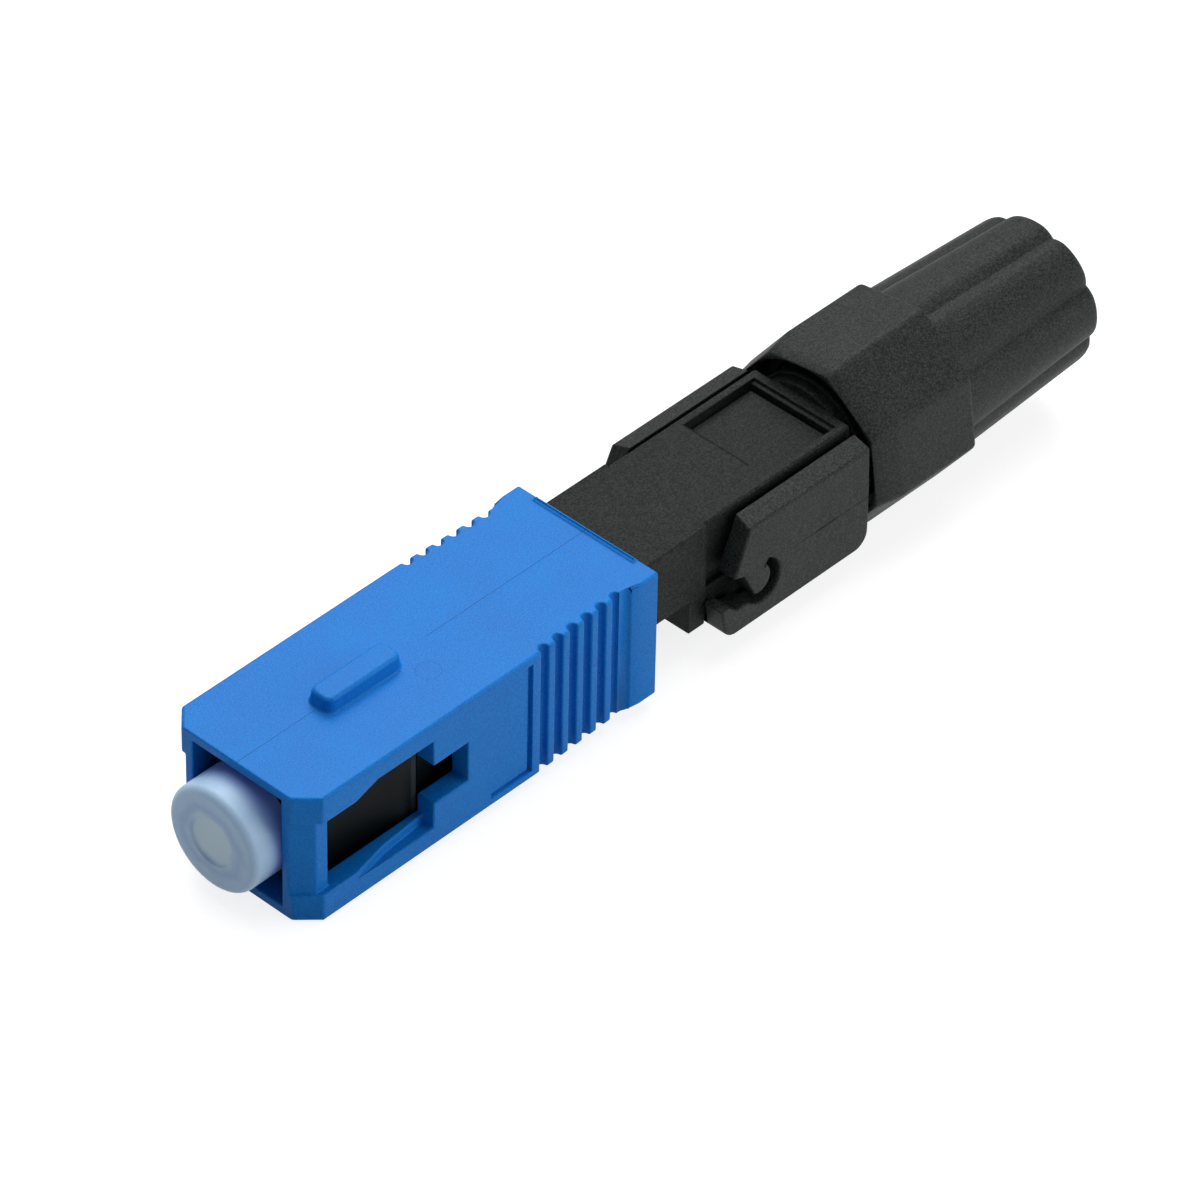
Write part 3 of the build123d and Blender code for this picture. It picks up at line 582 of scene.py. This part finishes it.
# Tail nut: octagonal collar and an eight-lobed tapering grip in one black moulding, screwed on
# the neck by hand. One profile is swept round the axis, and an octagon turns into the lobes.
nut_profile = [
    # place along the axis, radius, share of the octagon, depth of the valleys between lobes
    (38.86, 4.450, 0.0, 0.00), (38.80, 4.470, 0.5, 0.00), (38.80, 4.475, 1.0, 0.00),
    (38.84, 4.510, 1.0, 0.00), (39.60, 4.650, 1.0, 0.00), (40.25, 4.758, 1.0, 0.00),
    (40.40, 4.776, 1.0, 0.00), (40.55, 4.786, 1.0, 0.00), (42.00, 4.786, 1.0, 0.00),
    (44.00, 4.786, 1.0, 0.00), (45.36, 4.786, 1.0, 0.00), (45.47, 4.779, 1.0, 0.00),
    (45.55, 4.752, 1.0, 0.00), (45.60, 4.700, 1.0, 0.00), (45.62, 4.600, 0.7, 0.06),
    (45.63, 4.515, 0.1, 0.18), (45.65, 4.495, 0.0, 0.22), (45.72, 4.490, 0.0, 0.22),
    (47.00, 4.440, 0.0, 0.23), (49.00, 4.357, 0.0, 0.26), (51.00, 4.274, 0.0, 0.29),
    (53.00, 4.191, 0.0, 0.32), (54.60, 4.124, 0.0, 0.34), (55.15, 4.100, 0.0, 0.34),
    (55.35, 4.070, 0.0, 0.34), (55.50, 4.010, 0.0, 0.34), (55.60, 3.920, 0.0, 0.33),
    (55.645, 3.810, 0.0, 0.31), (55.65, 3.700, 0.0, 0.27), (55.65, 3.300, 0.0, 0.05),
    (55.65, 2.350, 0.0, 0.00), (55.60, 2.230, 0.0, 0.00), (55.50, 2.200, 0.0, 0.00),
    (52.62, 2.200, 0.0, 0.00), (52.60, 2.220, 0.0, 0.00), (52.60, 2.540, 0.0, 0.00),
    (52.58, 2.552, 0.0, 0.00), (45.62, 3.098, 0.0, 0.00), (45.60, 3.110, 0.0, 0.00),
    (45.60, 3.730, 0.0, 0.00), (45.58, 3.740, 0.0, 0.00), (40.42, 3.740, 0.0, 0.00),
    (40.40, 3.760, 0.0, 0.00), (40.40, 4.430, 0.0, 0.00), (40.42, 4.450, 0.0, 0.00),
    (38.86, 4.450, 0.0, 0.00)]
lobes = 8
face_turn = 36.5 / 360
steps_round = 385
groove_width = 0.7 * mm
corner_sharpness = 90.0
groove_share, crown_share = 0.45, 0.55
groove_power, crown_power = 1.5, 2.0
half_lobe = math.tau / 2 / lobes
profile_mesh = bpy.data.meshes.new("nut_profile")
profile_mesh.from_pydata([(x * mm, radius * mm, 0) for x, radius, _, _ in nut_profile],
                         [(n, n + 1) for n in range(len(nut_profile) - 1)], [])
for label, column in (("octagon", 2), ("valley", 3)):
    share = profile_mesh.attributes.new(label, "FLOAT", "POINT")
    share.data.foreach_set("value", [row[column] for row in nut_profile])
tail_nut = bpy.data.objects.new("nut_moulding", profile_mesh)
bpy.context.collection.objects.link(tail_nut)

nut_black = black_nylon("nut_black", rgb(36, 40, 38))
tree, nut, ports = geometry_tree("nut_sweep", ["Steps", "Lobes", "Turn", "Groove", "Corner"])
rows = len(nut_profile)
sheet = nut.add("GeometryNodeMeshGrid", {}, {
    "Size X": 1.0, "Size Y": 1.0, "Vertices X": rows, "Vertices Y": ports["Steps"]})
spot = nut.add("GeometryNodeInputPosition")
across = nut.add("ShaderNodeSeparateXYZ", {}, {0: spot}, output=0)
around = nut.add("ShaderNodeSeparateXYZ", {}, {0: spot}, output=1) + 0.5
row = ((across + 0.5) * (rows - 1.0)).math("ROUND")
profile_spot = nut.add("GeometryNodeSampleIndex", {"data_type": "FLOAT_VECTOR"},
                       {"Geometry": ports["Geometry"], "Value": spot, "Index": row})
along_axis = nut.add("ShaderNodeSeparateXYZ", {}, {0: profile_spot}, output=0)
radius = nut.add("ShaderNodeSeparateXYZ", {}, {0: profile_spot}, output=1)
shares = []
for label in ("octagon", "valley"):
    named = nut.add("GeometryNodeInputNamedAttribute", {"data_type": "FLOAT"}, {"Name": label})
    shares.append(nut.add("GeometryNodeSampleIndex", {"data_type": "FLOAT"},
                          {"Geometry": ports["Geometry"], "Value": named, "Index": row}))
octagon, valley = shares
turn = (around - ports["Turn"]) * ports["Lobes"] + 0.5
from_face = abs(turn.math("FRACT") - 0.5) / ports["Lobes"] * math.tau
from_corner = half_lobe - from_face
near = from_face.math("COSINE") ** ports["Corner"]
far = (math.tau / lobes - from_face).math("COSINE") ** ports["Corner"]
corner_radius = radius / ((near + far) ** (1.0 / ports["Corner"]))
groove = (1.0 - from_corner * radius / ports["Groove"]).math("MAXIMUM", 0.0) ** groove_power
crown = (from_face / half_lobe) ** crown_power
lobe_radius = radius - valley * mm * (groove * groove_share + crown * crown_share)
swept = octagon * corner_radius + (1.0 - octagon) * lobe_radius
angle = around * math.tau
ring_spot = nut.add("ShaderNodeCombineXYZ", {}, {
    "X": along_axis, "Y": swept * angle.math("COSINE"), "Z": swept * angle.math("SINE")})
sheet = nut.add("GeometryNodeSetPosition", {}, {"Geometry": sheet, "Position": ring_spot})
sheet = nut.add("GeometryNodeMergeByDistance", {}, {"Geometry": sheet, "Distance": 0.0005 * mm})
close_tree(nut, sheet, nut_black)
sweep = tail_nut.modifiers.new("sweep", "NODES")
sweep.node_group = tree
sweep_inputs(tree, sweep, {"Steps": float(steps_round), "Lobes": float(lobes), "Turn": face_turn,
                           "Groove": groove_width, "Corner": corner_sharpness})
finish_piece(tail_nut, "nut_moulding", "nut", nut_black)
outwards = bmesh.new()
outwards.from_mesh(tail_nut.data)
bmesh.ops.recalc_face_normals(outwards, faces=outwards.faces)
outwards.to_mesh(tail_nut.data)
outwards.free()
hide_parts("tail_nut")


# Outer sleeve: the blue push-pull grip, one PBT moulding with the key on top. The mould's
# parting line runs along its top, and an ejector pin leaves a faint round mark behind the key.
def sleeve_blue():
    """Blue plastic with a fine grain, the parting line and the pin mark."""
    grain_contrast, patch_contrast = 3.0, 0.5
    sleeve_top = 3.6 * mm
    nose_end, tail_start = 5.9 * mm, 13.0 * mm
    parting_half, parting_strength = 0.018 * mm, 0.7
    pin_x, pin_y, pin_radius = 11.5 * mm, -1.75 * mm, 0.6 * mm
    pin_line_half, pin_strength = 0.02 * mm, 0.3
    finish = Finish("sleeve_blue")
    place = finish.place()
    x, y, z = (finish.axis(place, index) for index in range(3))
    fine = finish.noise(place, 0.07 * mm, 3.0, 0.7)
    broad = finish.noise(place, 3.0 * mm, 3.0)
    mottle = (fine - 0.5) * grain_contrast + (broad - 0.5) * patch_contrast + 0.5
    tone = finish.between(mottle, rgb(4, 104, 194), rgb(20, 136, 224))
    on_top = 1 - z.below(sleeve_top, 0.02 * mm)
    nose = x.below(nose_end, 0.05 * mm)
    tail = 1 - x.below(tail_start, 0.6 * mm)
    parting = abs(y).below(parting_half, 0.014 * mm) * (nose + tail) * on_top
    from_pin = ((x - pin_x) ** 2 + (y - pin_y) ** 2).math("SQRT")
    pin = abs(from_pin - pin_radius).below(pin_line_half, 0.02 * mm) * on_top
    line = parting * parting_strength + pin * pin_strength
    tone = finish.between(line, tone, rgb(2, 46, 118))
    return finish.surface(Base_Color=tone, Roughness=0.45 + (broad - 0.5) * 0.1,
                          Specular_IOR_Level=0.15,
                          Normal=finish.relief(fine * 0.8 - line, 0.006 * mm))


def sleeve_softness(centre):
    """The share of the edge radius: the key's upright corners are the softest, the fine steps
    of the side panel stay crisp, and the shallow waist's upper edge stays sharp."""
    if centre.z > 3.75:
        upright = 3.9 < centre.z < 4.3 and abs(centre.y) > 0.7 and not 6.4 < centre.x < 10.7
        return 1.0 if upright else 0.4
    panel = 12.5 < centre.x < 15.8 and abs(centre.y) > 4.2 and abs(centre.z) < 3.5
    waist = 21.46 < centre.x < 22.3 and abs(centre.y) > 3.8 and abs(centre.z) > 3.68
    return 0.0 if waist else 0.08 if panel else 0.20


def sleeve_reach(corner):
    """How far a corner may leave the solid: the whole radius on the key, little elsewhere."""
    on_key = corner.z > 3.69 and abs(corner.y) < 1.5
    return 1.0 if on_key else max(sleeve_softness(corner), 0.20)


moulded("outer_sleeve", "sleeve_moulding", "sleeve", sleeve_blue(), 0.48 * mm,
        segments=3, softness=sleeve_softness, reach=sleeve_reach)


# Dust cap: soft translucent polyethylene, pushed over the ferrule from the front. Its face has a
# paler spot of painted light where the ferrule's tip shows through and a ring of painted shade at
# the dimple's edge. Its root is painted bluer and darker as the sleeve's shadow and blue
# reflection.
def cap_milky():
    """Milky plastic with a cloudy ring of painted shade and a pale spot of painted light on its
    face, and a root painted bluer as the sleeve's shadow and reflection.
    """
    face_x, cloudiness = -0.45 * mm, 1.0 * mm
    ring_radius, ring_half_width, ring_shade_strength = 1.75 * mm, 0.22 * mm, 0.5
    spot_radius, spot_light_strength = 1.25 * mm, 0.8
    root_start, root_end, root_shade_strength = 0.65 * mm, 1.9 * mm, 0.7
    finish = Finish("cap_milky")
    place = finish.place()
    x, y, z = (finish.axis(place, index) for index in range(3))
    cloud = finish.noise(place, 1.1 * mm, 3.0)
    fine = finish.noise(place, 0.1 * mm, 2.0)
    out = (y ** 2 + z ** 2).math("SQRT") + (cloud - 0.5) * cloudiness
    face = x.below(face_x, 0.12 * mm)
    ring_shade = face * abs(out - ring_radius).below(ring_half_width, 0.25 * mm)
    spot = face * out.below(spot_radius, 0.18 * mm)
    root_shade = (1 - x.below(root_start, 0.55 * mm)) * x.below(root_end, 0.5 * mm)
    tone = finish.between(fine * 0.6 + cloud * 0.4, rgb(166, 200, 236), rgb(190, 220, 248))
    # Painted shade: a darker cloudy ring at the edge of the face's dimple.
    tone = finish.between(ring_shade * ring_shade_strength, tone, rgb(134, 174, 222))
    # Painted light: a pale spot where the ferrule shows through the face.
    tone = finish.between(spot * spot_light_strength, tone, rgb(206, 236, 255))
    # Painted shadow and blue reflection of the sleeve on the cap's root.
    tone = finish.between(root_shade * root_shade_strength, tone, rgb(104, 136, 226))
    return finish.surface(Base_Color=tone, Roughness=0.4, IOR=1.51, Specular_IOR_Level=0.35,
                          Subsurface_Weight=0.25, Subsurface_Scale=0.001,
                          Subsurface_Radius=(1.0, 1.2, 1.5), Transmission_Weight=0.05,
                          Normal=finish.relief(fine, 0.002 * mm))


moulded("dust_cap", "cap_moulding", "cap", cap_milky(), 0.05 * mm)
